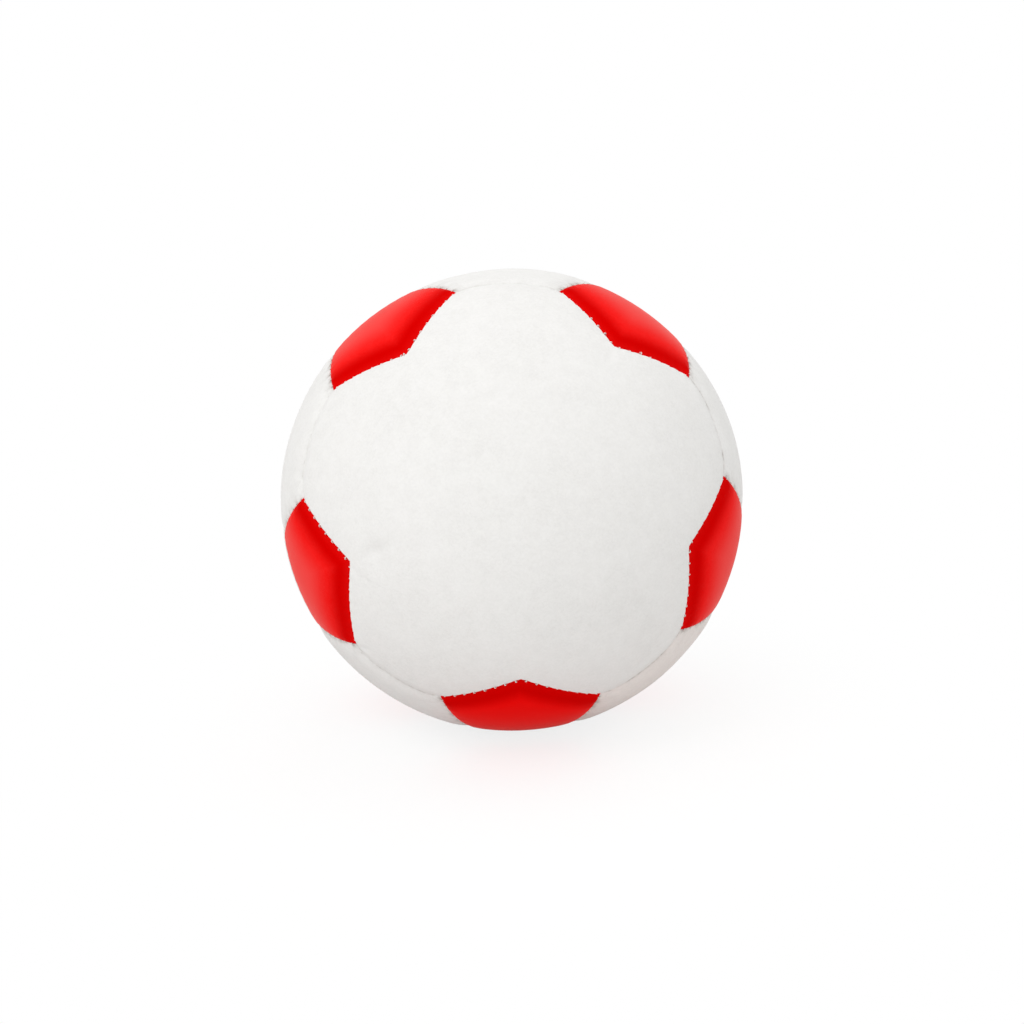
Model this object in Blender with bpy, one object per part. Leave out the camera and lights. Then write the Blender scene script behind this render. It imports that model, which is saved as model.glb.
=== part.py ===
"""Mini soccer ball: a small stuffed ball sewn from vinyl panels.

The panels follow a truncated icosahedron. At the front and at the back, one pentagon and the five
hexagons round it are cut as a single large white panel. Between the two lie ten red pentagons and ten
white hexagons. Every panel turns its edges in at the seams, a thread runs between the turned-in edges,
and fibre stuffing fills the ball. The ball rests on the middle of its lowest hexagon, which it presses
flat.

Ball frame: the front large panel faces -Y, and a red pentagon lies straight below it, towards -Z.
"""

import math
from itertools import pairwise

import bmesh
import bpy
from mathutils import Matrix, Vector

# Driving dimensions, in metres
BALL_DIAMETER = 0.1016
PANEL_WALL = 0.0012
PANEL_CROWN = 0.0008  # rise of a panel's middle above its rim
CROWN_REACH = 0.009  # distance from the rim at which a panel has its full height
BEND_RADIUS = 0.0005  # inside radius of the fold where a panel turns in
SEAM_ALLOWANCE = 0.005  # depth of the turned-in edge, below the fold
STITCH_DEPTH = 0.0015  # depth of the stitch line, below the fold
THREAD_DIAMETER = 0.0005
CONTACT_DIAMETER = 0.014  # flat patch that the soft ball rests on
SEAM_GAP = 0.0003
THREAD_CLEARANCE = 0.0003
STUFFING_CLEARANCE = 0.0003

# Fineness of the surfaces
SEAM_STEPS = 3  # straight stretches along each seam
FOLD_STEPS = 2  # flats round each fold
RING_STEP = 0.008  # distance between rings on a crown
THREAD_SIDES_RESOLUTION = 0  # a square thread

# Sizes that follow from the driving dimensions
CROWN_RADIUS = BALL_DIAMETER / 2
FOLD_RADIUS = BEND_RADIUS + PANEL_WALL
RIM_RADIUS = CROWN_RADIUS - PANEL_CROWN
ROOT_RADIUS = RIM_RADIUS - FOLD_RADIUS
STITCH_RADIUS = ROOT_RADIUS - STITCH_DEPTH
EDGE_RADIUS = ROOT_RADIUS - SEAM_ALLOWANCE
HALF_GAP = SEAM_GAP / 2
THREAD_POCKET = THREAD_DIAMETER / 2 + THREAD_CLEARANCE
THREAD_END_GAP = THREAD_DIAMETER + THREAD_CLEARANCE
CONTACT_RADIUS = CONTACT_DIAMETER / 2
CONTACT_DISTANCE = math.sqrt(CROWN_RADIUS**2 - CONTACT_RADIUS**2)
STUFFING_DROP = PANEL_WALL + STUFFING_CLEARANCE

PENTAGON_SIDES = 5
HEXAGON_SIDES = 6
LARGE_SIDES = 15

# Name: colour, roughness
FINISHES = {
    "white_vinyl": ((0.86, 0.85, 0.83, 1.0), 0.5),
    "red_vinyl": ((0.78, 0.01, 0.01, 1.0), 0.42),
    "white_thread": ((0.88, 0.87, 0.84, 1.0), 0.8),
    "polyester_fibre": ((0.9, 0.9, 0.88, 1.0), 0.95),
}


def clear_scene():
    for obj in list(bpy.data.objects):
        bpy.data.objects.remove(obj)


def make_materials():
    """One Principled BSDF material for each finish."""
    made = {}
    for name, (colour, roughness) in FINISHES.items():
        material = bpy.data.materials.new(name)
        material.use_nodes = True
        shader = material.node_tree.nodes["Principled BSDF"]
        shader.inputs["Base Color"].default_value = colour
        shader.inputs["Roughness"].default_value = roughness
        shader.inputs["Metallic"].default_value = 0.0
        made[name] = material
    return made


def seam_layout():
    """The seams as a mesh on the unit sphere: a face for each panel and an edge for each seam."""
    # The icosahedron's top corner turns to the front, and its +X corner turns down.
    to_ball = Matrix(((0, 1, 0, 0), (0, 0, -1, 0), (-1, 0, 0, 0), (0, 0, 0, 1)))
    bm = bmesh.new()
    bmesh.ops.create_icosphere(bm, subdivisions=1, radius=1, matrix=to_ball)
    bm.edges.ensure_lookup_table()
    third = bm.edges[0].calc_length() / 3
    bmesh.ops.bevel(bm, geom=bm.verts[:], offset=third, affect="VERTICES", segments=1)
    bmesh.ops.remove_doubles(bm, verts=bm.verts[:], dist=third / 100)
    for side in (-1, 1):
        pole = Vector((0, side, 0))
        middle = max(bm.faces, key=lambda face: face.calc_center_median().dot(pole))
        around = {face for edge in middle.edges for face in edge.link_faces}
        bmesh.ops.dissolve_faces(bm, faces=list(around), use_verts=False)
    for vert in bm.verts:
        vert.co.normalize()
    bm.normal_update()
    return bm


def face_centre(face):
    return sum((vert.co for vert in face.verts), Vector()).normalized()


def turn_from_bottom(direction):
    """Angle round the front-to-back axis, from straight down, counter-clockwise as seen from the front."""
    turn = math.atan2(direction.x, -direction.z)
    return round(turn, 6) % round(math.tau, 6)


def side_of(direction):
    return "front" if direction.y < 0 else "back"


def named_panels(layout):
    """{name: face}, numbered on each side from the bottom."""
    kinds = {PENTAGON_SIDES: "red_pentagon", HEXAGON_SIDES: "white_hexagon"}
    panels = {}
    for face in layout.faces:
        if len(face.verts) == LARGE_SIDES:
            panels[f"{side_of(face_centre(face))}_large_panel"] = face
    for sides, kind in kinds.items():
        for side in ("front", "back"):
            ring = [f for f in layout.faces if len(f.verts) == sides and side_of(face_centre(f)) == side]
            ring.sort(key=lambda face: turn_from_bottom(face_centre(face)))
            panels |= {f"{side}_{kind}_{number}": face for number, face in enumerate(ring, 1)}
    return panels


def outline(corners):
    """Points along a panel's seams, as pairs of a direction and the way into the panel.

    The way in is square to the seam. At a corner it is longer, so that the same distance along it
    keeps clear of both seams.
    """
    ways = [a.cross(b).normalized() for a, b in zip(corners, corners[1:] + corners[:1])]
    points = []
    for i, (start, way) in enumerate(zip(corners, ways)):
        end = corners[(i + 1) % len(corners)]
        before = ways[i - 1]
        points.append((start, (before + way) / (1 + before.dot(way))))
        for step in range(1, SEAM_STEPS):
            points.append((start.slerp(end, step / SEAM_STEPS), way))
    return points


def ring_at(points, inset, radius):
    """A ring that follows the seams, this far into the panel and this far from the ball's middle."""
    return [direction * radius + way * inset for direction, way in points]


def fold_rings(points):
    """Rings from a panel's cut edge, past the thread's pocket and round the fold, up to the rim."""
    rings = [
        ring_at(points, HALF_GAP, EDGE_RADIUS),
        ring_at(points, THREAD_POCKET, STITCH_RADIUS),
        ring_at(points, HALF_GAP, ROOT_RADIUS),
    ]
    for step in range(1, FOLD_STEPS + 1):
        turn = step / FOLD_STEPS * math.pi / 2
        inset = HALF_GAP + FOLD_RADIUS * (1 - math.cos(turn))
        rings.append(ring_at(points, inset, ROOT_RADIUS + FOLD_RADIUS * math.sin(turn)))
    return rings


def crown_rings(rim, centre, drop, resting):
    """Rings from inside the rim to the panel's middle, this far below the outer surface.

    A panel rises from its rim along a parabola. The last ring is the middle point alone or, on the
    resting panel, the round edge of the flat patch.
    """
    directions = [point.normalized() for point in rim]
    span = max(direction.angle(centre) for direction in directions)
    count = max(1, round(span * CROWN_RADIUS / RING_STEP))
    rings = []
    for step in range(1, count):
        ring = []
        for direction in directions:
            inward = direction.slerp(centre, step / count)
            run = direction.angle(inward) * CROWN_RADIUS
            rise = 1 - (1 - min(run / CROWN_REACH, 1)) ** 2
            ring.append(inward * (RIM_RADIUS + PANEL_CROWN * rise - drop))
        rings.append(ring)
    if resting:
        flat_middle = centre * (CONTACT_DISTANCE - drop)
        outwards = [(d - centre * d.dot(centre)).normalized() for d in directions]
        rings.append([flat_middle + outward * CONTACT_RADIUS for outward in outwards])
    else:
        rings.append([centre * (CROWN_RADIUS - drop)])
    return rings


def skin(bm, rings):
    """Faces between one ring and the next, and over the last one."""
    loops = [[bm.verts.new(point) for point in ring] for ring in rings]
    for lower, upper in pairwise(loops):
        for i in range(len(lower)):
            j = (i + 1) % len(lower)
            top = [upper[0]] if len(upper) == 1 else [upper[j], upper[i]]
            bm.faces.new([lower[i], lower[j], *top])
    if len(loops[-1]) > 1:
        bm.faces.new(loops[-1])


def add_object(name, data, material, parent):
    obj = bpy.data.objects.new(name, data)
    data.materials.append(material)
    bpy.context.scene.collection.objects.link(obj)
    obj.parent = parent
    return obj


def mesh_from(bm, name):
    mesh = bpy.data.meshes.new(name)
    bm.to_mesh(mesh)
    bm.free()
    mesh.shade_smooth()
    mesh.set_sharp_from_angle(angle=math.radians(40))
    return mesh


def build_panel(name, face, resting, material, parent):
    """A panel with its edges turned in, given its wall thickness inwards."""
    points = outline([vert.co.copy() for vert in face.verts])
    rings = fold_rings(points)
    rings += crown_rings(rings[-1], face_centre(face), 0, resting)
    bm = bmesh.new()
    skin(bm, rings)
    panel = add_object(name, mesh_from(bm, name), material, parent)
    wall = panel.modifiers.new("wall", "SOLIDIFY")
    wall.thickness = PANEL_WALL
    wall.offset = -1
    wall.use_even_offset = True
    return panel


def build_stuffing(panels, resting_name, material, parent):
    """The fibre ball: a pad behind every panel, and a trench along every seam for the turned-in edges."""
    trench_floor = EDGE_RADIUS - STUFFING_CLEARANCE
    trench_wall = THREAD_POCKET + STUFFING_DROP
    bm = bmesh.new()
    for name, face in panels.items():
        points = outline([vert.co.copy() for vert in face.verts])
        rim = ring_at(points, trench_wall, RIM_RADIUS - STUFFING_DROP)
        rings = [ring_at(points, 0, trench_floor), ring_at(points, trench_wall, trench_floor), rim]
        skin(bm, rings + crown_rings(rim, face_centre(face), STUFFING_DROP, name == resting_name))
    bmesh.ops.remove_doubles(bm, verts=bm.verts[:], dist=SEAM_GAP / 10)
    add_object("fibre_stuffing", mesh_from(bm, "fibre_stuffing"), material, parent)


def thread_routes(layout, panels):
    """{name: (corners of the seams that one thread runs along, whether it closes on itself)}."""
    routes = {}
    for side in ("front", "back"):
        large = panels[f"{side}_large_panel"]
        routes[f"{side}_panel_seam_thread"] = ([vert.co for vert in large.verts], True)
        for number in range(1, PENTAGON_SIDES + 1):
            corners = [vert.co for vert in panels[f"{side}_red_pentagon_{number}"].verts]
            near = max(range(PENTAGON_SIDES), key=lambda i: corners[i].dot(face_centre(large)))
            open_run = [corners[(near + step) % PENTAGON_SIDES] for step in range(1, PENTAGON_SIDES)]
            routes[f"{side}_pentagon_{number}_seam_thread"] = (open_run, False)
    belt = [e for e in layout.edges if all(len(f.verts) == HEXAGON_SIDES for f in e.link_faces)]
    belt.sort(key=lambda edge: turn_from_bottom(edge.verts[0].co + edge.verts[1].co))
    for number, edge in enumerate(belt, 1):
        # The ball is stuffed through its last belt seam, which is then sewn up by hand.
        name = "closing_seam_thread" if number == len(belt) else f"belt_seam_thread_{number}"
        routes[name] = ([vert.co for vert in edge.verts], False)
    return routes


def build_thread(name, corners, closed, material, parent):
    """A thread along the middle of its seams, at the depth of the stitches."""
    if closed:
        stretches = list(pairwise(corners + corners[:1]))
    else:
        trim = THREAD_END_GAP / STITCH_RADIUS
        first, last = corners[0], corners[-1]
        first = first.slerp(corners[1], trim / first.angle(corners[1]))
        last = last.slerp(corners[-2], trim / last.angle(corners[-2]))
        corners = [first, *corners[1:-1], last]
        stretches = list(pairwise(corners))
    points = [a.slerp(b, step / SEAM_STEPS) for a, b in stretches for step in range(SEAM_STEPS)]
    if not closed:
        points.append(corners[-1])
    curve = bpy.data.curves.new(name, "CURVE")
    curve.dimensions = "3D"
    curve.bevel_depth = THREAD_DIAMETER / 2
    curve.bevel_resolution = THREAD_SIDES_RESOLUTION
    curve.use_fill_caps = True
    spline = curve.splines.new("POLY")
    spline.points.add(len(points) - 1)
    for knot, point in zip(spline.points, points):
        knot.co = (*(point * STITCH_RADIUS), 1)
    spline.use_cyclic_u = closed
    add_object(name, curve, material, parent)


def ball_centre(resting_centre):
    """The ball's middle, turned so that the resting panel lies flat on the ground at the origin."""
    empty = bpy.data.objects.new("ball_centre", None)
    bpy.context.scene.collection.objects.link(empty)
    empty.location = (0, 0, CONTACT_DISTANCE)
    empty.rotation_euler = resting_centre.rotation_difference(Vector((0, 0, -1))).to_euler()
    return empty


def main():
    clear_scene()
    materials = make_materials()
    layout = seam_layout()
    panels = named_panels(layout)
    resting_name = "back_white_hexagon_1"
    centre = ball_centre(face_centre(panels[resting_name]))
    for name, face in panels.items():
        finish = "red_vinyl" if "red" in name else "white_vinyl"
        build_panel(name, face, name == resting_name, materials[finish], centre)
    for name, (corners, closed) in thread_routes(layout, panels).items():
        build_thread(name, corners, closed, materials["white_thread"], centre)
    build_stuffing(panels, resting_name, materials["polyester_fibre"], centre)
    layout.free()


main()
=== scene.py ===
"""Looks of the mini soccer ball: a small stuffed ball sewn from white and red vinyl panels.

The seams follow a truncated icosahedron. At the front and at the back, one pentagon and the five hexagons
round it are one large white panel. Every panel is a closed vinyl shell that swells over the stuffing, rolls
over at its seams and turns in. White stitches bridge the seams.

Lengths are in metres. A direction is a unit vector from the ball's middle.
"""

import logging
import math
from dataclasses import astuple, dataclass, field, replace
from enum import Enum
from functools import cached_property

import bmesh
import bpy
import numpy as np
from mathutils import Matrix, Vector


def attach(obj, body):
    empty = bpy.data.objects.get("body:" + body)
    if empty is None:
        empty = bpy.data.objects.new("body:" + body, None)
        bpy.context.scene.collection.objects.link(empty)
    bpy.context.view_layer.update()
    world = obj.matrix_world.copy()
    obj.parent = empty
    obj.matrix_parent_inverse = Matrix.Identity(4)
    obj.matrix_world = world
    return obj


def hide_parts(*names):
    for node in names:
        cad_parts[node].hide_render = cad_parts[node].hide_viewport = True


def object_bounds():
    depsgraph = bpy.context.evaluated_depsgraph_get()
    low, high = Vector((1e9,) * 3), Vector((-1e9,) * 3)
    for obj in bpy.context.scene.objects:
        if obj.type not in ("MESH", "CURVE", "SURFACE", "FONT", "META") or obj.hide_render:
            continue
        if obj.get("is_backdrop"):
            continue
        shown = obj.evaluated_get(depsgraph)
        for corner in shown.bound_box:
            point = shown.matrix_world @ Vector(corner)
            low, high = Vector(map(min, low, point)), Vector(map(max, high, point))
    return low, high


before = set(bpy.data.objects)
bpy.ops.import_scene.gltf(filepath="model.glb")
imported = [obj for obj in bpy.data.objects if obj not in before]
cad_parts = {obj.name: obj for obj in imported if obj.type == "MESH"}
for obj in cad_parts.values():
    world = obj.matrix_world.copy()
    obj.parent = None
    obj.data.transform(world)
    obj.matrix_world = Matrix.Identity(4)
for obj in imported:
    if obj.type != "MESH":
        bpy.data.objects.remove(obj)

LOG = logging.getLogger("mini_soccer_ball")
ROOT = "root"
# Corners in each ring of the icosahedron
RING = 5
# Sockets of a Mix node that mixes colours, by number
MIX_SHARE, MIX_FIRST, MIX_SECOND, MIX_RESULT = 0, 6, 7, 2
Array = np.ndarray
Shape = tuple[Array, list[Array]]
Pair = tuple[float, float]
Triple = tuple[float, float, float]
Colour = tuple[float, float, float, float]


def unit(vectors: Array) -> Array:
    """Vectors scaled to length one."""
    return vectors / np.linalg.norm(vectors, axis=-1, keepdims=True)


def along_arc(start: Array, end: Array, share: Array) -> Array:
    """Points on the great circle from one direction to another.

    With w the angle between the two, a point at share f is (sin((1-f) w) start + sin(f w) end) / sin w.

    Args:
        start: First directions, shape (..., 3).
        end: Last directions, shape (..., 3).
        share: How far along each point lies, from 0 to 1, shape (..., 1).

    Returns:
        The directions.
    """
    angle = np.arccos(np.sum(start * end, axis=-1, keepdims=True))
    return (np.sin((1 - share) * angle) * start + np.sin(share * angle) * end) / np.sin(angle)


class Socket:
    """A shader socket that takes part in Python expressions."""

    def __init__(self, graph: "ShaderGraph", socket: bpy.types.NodeSocket) -> None:
        """Keeps the socket and the graph that it belongs to."""
        self.graph = graph
        self.socket = socket

    def math(self, operation: str, *values: "Socket | float") -> "Socket":
        """A Math node over the given values, as a socket."""
        inputs = dict(enumerate(values))
        return self.graph.add("ShaderNodeMath", {"operation": operation}, inputs)

    def __add__(self, other: "Socket | float") -> "Socket":
        """Sum."""
        return self.math("ADD", self, other)

    def __sub__(self, other: "Socket | float") -> "Socket":
        """Difference."""
        return self.math("SUBTRACT", self, other)

    def __rsub__(self, other: "Socket | float") -> "Socket":
        """Difference from a value on the left."""
        return self.math("SUBTRACT", other, self)

    def __mul__(self, other: "Socket | float") -> "Socket":
        """Product."""
        return self.math("MULTIPLY", self, other)

    __radd__ = __add__
    __rmul__ = __mul__

    def gap(self, value: float) -> "Socket":
        """Distance from a value."""
        return self.math("ABSOLUTE", self - value)

    def fade(self, start: float, end: float) -> "Socket":
        """Smooth step from 0 at start to 1 at end, which may lie the other way round."""
        low, high = sorted((start, end))
        targets = (0.0, 1.0) if start < end else (1.0, 0.0)
        settings = {"interpolation_type": "SMOOTHSTEP"}
        inputs = {"Value": self, "From Min": low, "From Max": high}
        inputs |= {"To Min": targets[0], "To Max": targets[1]}
        return self.graph.add("ShaderNodeMapRange", settings, inputs)


class ShaderGraph:
    """The node tree of one finish, of the floor or of the world."""

    def __init__(self, owner: bpy.types.ID) -> None:
        """Clears the owner's node tree and keeps it.

        Args:
            owner: A material or a world.
        """
        owner.use_nodes = True
        self.tree = owner.node_tree
        self.tree.nodes.clear()

    def add(self, kind: str, settings: dict, inputs: dict, output: str | int = 0) -> Socket:
        """Adds a node, sets it up, and links or sets its inputs.

        Args:
            kind: The node's type.
            settings: Properties of the node, set first.
            inputs: Values or sockets by input name or index.
            output: Name or index of the output to hand back.

        Returns:
            The chosen output.
        """
        node = self.tree.nodes.new(kind)
        for name, setting in settings.items():
            setattr(node, name, setting)
        for name, value in inputs.items():
            if isinstance(value, Socket):
                self.tree.links.new(value.socket, node.inputs[name])
            else:
                node.inputs[name].default_value = value
        return Socket(self, node.outputs[output] if node.outputs else None)

    def mix(self, share: Socket | float, first: Socket | Colour, second: Socket | Colour) -> Socket:
        """Colour between two colours.

        Args:
            share: How much of the second colour shows, from 0 to 1.
            first: A colour or a socket.
            second: A colour or a socket.

        Returns:
            The mixed colour.
        """
        inputs = {MIX_SHARE: share, MIX_FIRST: first, MIX_SECOND: second}
        return self.add("ShaderNodeMix", {"data_type": "RGBA"}, inputs, MIX_RESULT)

    def noise(self, place: Socket, size: float, detail: float = 2.0) -> Socket:
        """Soft noise whose patches are about as wide as size, from 0 to 1 around 0.5."""
        return self.add("ShaderNodeTexNoise", {}, {"Vector": place, "Scale": 1 / size, "Detail": detail})

    def attribute(self, name: str) -> Socket:
        """A number that the mesh carries at each point."""
        return self.add("ShaderNodeAttribute", {"attribute_name": name}, {}, "Fac")

    def shown(self) -> Socket:
        """1 where the camera sees a surface, straight, mirrored or through glass, and 0 to other light."""
        rays = ("Is Camera Ray", "Is Glossy Ray", "Is Transmission Ray")
        camera, glossy, through = (self.add("ShaderNodeLightPath", {}, {}, ray) for ray in rays)
        return (camera + glossy + through).fade(0.0, 1.0)

    def place(self) -> Socket:
        """Object coordinates, in metres."""
        return self.add("ShaderNodeTexCoord", {}, {}, "Object")

    def bump(self, height: Socket, depth: float) -> Socket:
        """The surface's direction where the height, from 0 to 1, stands up by depth."""
        return self.add("ShaderNodeBump", {}, {"Strength": 1.0, "Distance": depth, "Height": height})

    def surface(self, inputs: dict) -> None:
        """Ends the graph in a Principled shader with these inputs."""
        shader = self.add("ShaderNodeBsdfPrincipled", {}, inputs)
        self.add("ShaderNodeOutputMaterial", {}, {"Surface": shader})


def rgba(red: float, green: float, blue: float) -> Colour:
    """A solid colour."""
    return (red, green, blue, 1.0)


@dataclass(frozen=True)
class VinylFinish:
    """Soft matt vinyl with a fine grain, with a painted sheen away from its notched seams, a band of painted
    shade along them, and dirt and painted shade in all of its seams.

    A tone or a relief is how much of a pattern goes into the mottled colour or into the bumps. Dirt and
    painted shade in the seams have a base and a part that follows a pattern.
    """

    name: str
    colour: Colour
    mottle: Colour
    painted_sheen_colour: Colour
    painted_sheen: float
    painted_shade_band_colour: Colour
    painted_shade_band: Pair
    seam_dirt_and_shade_colour: Colour
    speck_share: float
    roughness: float
    specular: float
    sheen: float
    sheen_tint: Colour
    sheen_roughness: float = 0.25
    rough_spread: float = 0.2
    painted_sheen_reach: Pair = (0.0055, 0.0145)
    painted_shade_band_return: float = 0.35
    broad_size: float = 0.010
    blotch_size: float = 0.0026
    grain_size: float = 0.0006
    fine_size: float = 0.0004
    crease_size: float = 0.0015
    crease_width: float = 0.025
    crease_zone: Pair = (0.35, 0.6)
    spread: Pair = (0.3, 0.7)
    grain_spread: Pair = (0.3, 0.75)
    broad_tone: float = 0.15
    blotch_tone: float = 0.25
    grain_tone: float = 0.3
    fine_tone: float = 0.3
    crease_tone: float = 0.35
    blotch_relief: float = 0.5
    grain_relief: float = 0.7
    fine_relief: float = 0.3
    crease_relief: float = 0.4
    relief_depth: float = 0.000025
    speck_scale: float = 130.0
    speck_edge: Pair = (0.04, 0.012)
    speck_pick: Pair = (0.8, 0.85)
    dirt_and_shade_grain: Pair = (0.3, 1.1)
    dirt_and_shade_patch: Pair = (0.4, 1.15)
    patch_edge: Pair = (0.42, 0.58)

    def material(self) -> bpy.types.Material:
        """Makes the material.

        Returns:
            A vinyl with mottled colour, paler away from the notched seams by a painted sheen and darker in a
            band of painted shade along them, with specks, dirt and painted shade in its seams and a pebbled
            grain.
        """
        made = bpy.data.materials.new(self.name)
        graph = ShaderGraph(made)
        place = graph.place()
        broad = graph.noise(place, self.broad_size, detail=3)
        blotch = graph.noise(place, self.blotch_size, detail=3)
        grain = graph.noise(place, self.grain_size, detail=3)
        fine = graph.noise(place, self.fine_size)
        line = graph.noise(place, self.crease_size).gap(0.5).fade(self.crease_width, 0.0)
        crease = line * broad.fade(*self.crease_zone)
        tone = broad.fade(*self.spread) * self.broad_tone + blotch.fade(*self.spread) * self.blotch_tone
        tone = tone + grain.fade(*self.grain_spread) * self.grain_tone
        tone = tone + fine.fade(*self.spread) * self.fine_tone + crease * self.crease_tone
        colour = graph.mix(tone, self.colour, self.mottle)
        apart = graph.attribute("notch_distance")
        # Painted sheen: a paler, pinker colour away from the notched seams stands in for sheen at grazing
        # angles.
        colour = graph.mix(apart.fade(*self.painted_sheen_reach) * self.painted_sheen, colour, self.painted_sheen_colour)
        # Painted shade: a darker band along the notched seams stands in for the shade on the edge that rolls
        # in there, a little lighter right at the seam.
        near, far = self.painted_shade_band
        painted_shade_band = apart.fade(far, near) * (1 - apart.fade(near, 0.0) * self.painted_shade_band_return)
        colour = graph.mix(painted_shade_band, colour, self.painted_shade_band_colour)
        cells = {"Vector": place, "Scale": self.speck_scale, "Randomness": 1.0}
        spot = graph.add("ShaderNodeTexVoronoi", {}, cells, "Distance")
        chance = graph.add("ShaderNodeTexVoronoi", {}, cells, "Color")
        pick = graph.add("ShaderNodeSeparateColor", {}, {"Color": chance}, "Red")
        speck = spot.fade(*self.speck_edge) * pick.fade(*self.speck_pick) * self.speck_share
        # Seam grime together with painted shade: the shade in the seams' grooves is painted into the colour.
        dirt_and_shade = graph.attribute("seam_dirt_and_shade") * (self.dirt_and_shade_grain[0] + grain * self.dirt_and_shade_grain[1])
        dirt_and_shade = dirt_and_shade * (self.dirt_and_shade_patch[0] + blotch.fade(*self.patch_edge) * self.dirt_and_shade_patch[1])
        relief = grain * self.grain_relief + blotch * self.blotch_relief
        relief = relief + fine * self.fine_relief - crease * self.crease_relief
        graph.surface({
            "Base Color": graph.mix(speck + dirt_and_shade, colour, self.seam_dirt_and_shade_colour),
            "Roughness": self.roughness + (grain - 0.5) * self.rough_spread,
            "Normal": graph.bump(relief, self.relief_depth),
            "Specular IOR Level": self.specular,
            "Sheen Weight": self.sheen,
            "Sheen Roughness": self.sheen_roughness,
            "Sheen Tint": self.sheen_tint,
        })
        return made


@dataclass(frozen=True)
class FibreFinish:
    """Matt fibre: a spun thread or loose wadding."""

    name: str
    colour: Colour
    shade: Colour
    strand: float
    depth: float
    stretch: Triple = (1.0, 0.45, 1.6)
    spread: Pair = (0.35, 0.7)
    roughness: Pair = (0.7, 0.25)
    specular: float = 0.3

    def material(self) -> bpy.types.Material:
        """Makes the material.

        Returns:
            A rough white whose strands show as fine streaks.
        """
        made = bpy.data.materials.new(self.name)
        graph = ShaderGraph(made)
        stretched = graph.add("ShaderNodeMapping", {}, {"Vector": graph.place(), "Scale": self.stretch})
        strands = graph.noise(stretched, self.strand, detail=4)
        graph.surface({
            "Base Color": graph.mix(strands.fade(*self.spread), self.shade, self.colour),
            "Roughness": self.roughness[0] + strands * self.roughness[1],
            "Normal": graph.bump(strands, self.depth),
            "Specular IOR Level": self.specular,
        })
        return made


WHITE_VINYL = VinylFinish(
    name="white_vinyl_finish",
    colour=rgba(0.945, 0.937, 0.919),
    mottle=rgba(0.865, 0.856, 0.836),
    painted_sheen_colour=rgba(0.945, 0.937, 0.919),
    painted_sheen=0.0,
    painted_shade_band_colour=rgba(0.91, 0.90, 0.88),
    painted_shade_band=(0.0, 0.001),
    seam_dirt_and_shade_colour=rgba(0.42, 0.38, 0.345),
    speck_share=0.3,
    roughness=0.55,
    specular=0.04,
    sheen=0.0,
    sheen_tint=rgba(1.0, 1.0, 1.0),
)
# Red vinyl. Its paler colour away from the notched seams is painted sheen, not fading.
RED_VINYL = VinylFinish(
    name="red_vinyl_finish",
    colour=rgba(1.0, 0.017, 0.016),
    mottle=rgba(0.97, 0.005, 0.004),
    painted_sheen_colour=rgba(1.0, 0.066, 0.061),
    painted_sheen=0.9,
    # The band colour is painted shade along the notched seams.
    painted_shade_band_colour=rgba(0.71, 0.0, 0.0),
    painted_shade_band=(0.0026, 0.0066),
    seam_dirt_and_shade_colour=rgba(0.36, 0.002, 0.002),
    speck_share=0.1,
    roughness=0.45,
    specular=0.0,
    sheen=0.5,
    sheen_tint=rgba(1.0, 0.55, 0.51),
)
# Painted shade: a warmer, darker copy of the white for a lower hexagon.
SHADED_WHITE_VINYL = replace(
    WHITE_VINYL,
    name="shaded_white_vinyl_finish",
    colour=rgba(0.945, 0.890, 0.855),
    mottle=rgba(0.865, 0.813, 0.777),
)
# Painted shade: a copy for the lowest red panel, deeper red and with no painted sheen.
SHADED_RED_VINYL = replace(
    RED_VINYL,
    name="shaded_red_vinyl_finish",
    colour=rgba(1.0, 0.006, 0.005),
    mottle=rgba(0.98, 0.002, 0.002),
    painted_sheen_colour=rgba(1.0, 0.006, 0.005),
    sheen=0.4,
)
WHITE_THREAD = FibreFinish(
    name="white_thread_finish",
    colour=rgba(0.86, 0.85, 0.82),
    shade=rgba(0.70, 0.68, 0.64),
    strand=0.0002,
    depth=0.00004,
)
FIBRE = FibreFinish(
    name="polyester_fibre_finish",
    colour=rgba(0.88, 0.88, 0.86),
    shade=rgba(0.74, 0.74, 0.72),
    strand=0.0015,
    depth=0.0004,
)


def put_in_scene(name: str, data: bpy.types.ID) -> bpy.types.Object:
    """A new object in the scene, at the origin."""
    made = bpy.data.objects.new(name, data)
    bpy.context.scene.collection.objects.link(made)
    return made


@dataclass(frozen=True)
class Piece:
    """A finished mesh: its points, its faces and the numbers that its points carry."""

    name: str
    points: Array
    faces: list[Array]
    numbers: dict[str, Array] = field(default_factory=dict)

    def build(self, material: bpy.types.Material, slot: str) -> bpy.types.Object:
        """Puts the piece into the scene, on the ball's body.

        Args:
            material: The finish.
            slot: The record's material slot; not used.

        Returns:
            The new object, at the origin.
        """
        mesh = bpy.data.meshes.new(self.name)
        faces = [face for group in self.faces for face in group.tolist()]
        mesh.from_pydata(self.points.tolist(), [], faces)
        mesh.shade_smooth()
        for name, values in self.numbers.items():
            stored = mesh.attributes.new(name, "FLOAT", "POINT")
            stored.data.foreach_set("value", values.astype(np.float32))
        mesh.materials.append(material)
        made = put_in_scene(self.name, mesh)
        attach(made, ROOT)
        LOG.info("%s: %d points, %d faces", self.name, len(mesh.vertices), len(mesh.polygons))
        return made


def ring_faces(rows: int, columns: int) -> Array:
    """Quads of a grid whose rows close on themselves.

    Args:
        rows: Number of rows.
        columns: Points in each row.

    Returns:
        Point indices, shape ((rows - 1) * columns, 4), counter-clockwise where the next row lies to the left.
    """
    grid = np.arange(rows * columns).reshape(rows, columns)
    low, high = grid[:-1], grid[1:]
    quads = np.stack([low, np.roll(low, -1, axis=1), np.roll(high, -1, axis=1), high], axis=-1)
    return quads.reshape(-1, 4)


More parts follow.
